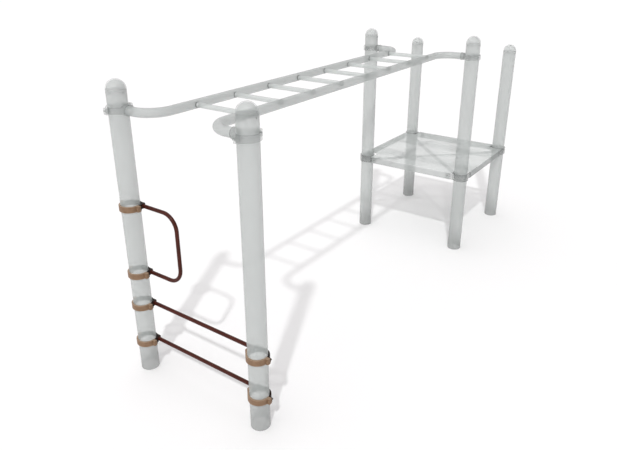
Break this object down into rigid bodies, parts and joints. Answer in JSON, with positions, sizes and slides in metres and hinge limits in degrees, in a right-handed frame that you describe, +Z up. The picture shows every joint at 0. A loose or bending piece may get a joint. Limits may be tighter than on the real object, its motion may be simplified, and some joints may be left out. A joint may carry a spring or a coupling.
{
  "type": "monkey bars",
  "caption": "Playground monkey bars: an overhead rung ladder between two front posts and a square deck on posts, with access rungs and a loop handle at the front.",
  "frame": {"origin": "on the ground at the centre of the plan bounding box", "axes": "+X from the two front posts towards the deck, along the ladder; +Y to the left seen from the front posts, towards the post with the loop handle; +Z up"},
  "size_m": [4.2848, 1.226, 2.0895],
  "materials": {
    "posts": null,
    "caps": "satin powder coat on die-cast aluminium",
    "ladder": "satin powder coat",
    "ladder_clamps": "satin powder coat on cast aluminium",
    "deck": "matte vinyl-coated sheet steel",
    "deck_frame": "satin powder coat",
    "frame_fasteners": "stainless steel",
    "access_tubes": "gloss reddish-brown powder coat",
    "access_clamp_fronts": "satin tan powder coat on cast aluminium",
    "access_fasteners": "dark plated steel"
  },
  "bodies": {
    "root": {"front_post_left": "posts", "front_cap_left": "caps", "deck_front_post_left": "posts", "deck_front_cap_left": "caps", "deck_rear_post_left": "posts", "deck_rear_cap_left": "caps", "ladder_rail_left": "ladder", "front_post_right": "posts", "front_cap_right": "caps", "deck_front_post_right": "posts", "deck_front_cap_right": "caps", "deck_rear_post_right": "posts", "deck_rear_cap_right": "caps", "ladder_rail_right": "ladder", "cap_rivets": "frame_fasteners", "ladder_rung_1": "ladder", "ladder_rung_2": "ladder", "ladder_rung_3": "ladder", "ladder_rung_4": "ladder", "ladder_rung_5": "ladder", "ladder_rung_6": "ladder", "ladder_rung_7": "ladder", "ladder_rung_8": "ladder", "ladder_clamp_inner_front_left": "ladder_clamps", "ladder_clamp_outer_front_left": "ladder_clamps", "ladder_clamp_inner_front_right": "ladder_clamps", "ladder_clamp_outer_front_right": "ladder_clamps", "ladder_clamp_inner_deck_left": "ladder_clamps", "ladder_clamp_outer_deck_left": "ladder_clamps", "ladder_clamp_inner_deck_right": "ladder_clamps", "ladder_clamp_outer_deck_right": "ladder_clamps", "ladder_clamp_bolts": "frame_fasteners", "frame_nuts": "frame_fasteners", "low_rung_clamp_back_left": "access_tubes", "low_rung_clamp_front_left": "access_clamp_fronts", "low_rung_clamp_back_right": "access_tubes", "low_rung_clamp_front_right": "access_clamp_fronts", "high_rung_clamp_back_left": "access_tubes", "high_rung_clamp_front_left": "access_clamp_fronts", "high_rung_clamp_back_right": "access_tubes", "high_rung_clamp_front_right": "access_clamp_fronts", "handle_bottom_clamp_back_left": "access_tubes", "handle_bottom_clamp_front_left": "access_clamp_fronts", "handle_top_clamp_back_left": "access_tubes", "handle_top_clamp_front_left": "access_clamp_fronts", "access_clamp_bolts": "access_fasteners", "access_clamp_nuts": "access_fasteners", "access_rung_low": "access_tubes", "access_rung_high": "access_tubes", "loop_handle": "access_tubes", "deck_plate": "deck", "deck_channel_front": "deck_frame", "deck_channel_rear": "deck_frame", "deck_brace_upper": "deck_frame", "deck_brace_lower": "deck_frame", "deck_collar_front_left": "deck_frame", "deck_collar_front_right": "deck_frame", "deck_collar_rear_left": "deck_frame", "deck_collar_rear_right": "deck_frame", "deck_bolts": "frame_fasteners"}
  },
  "joints": []
}
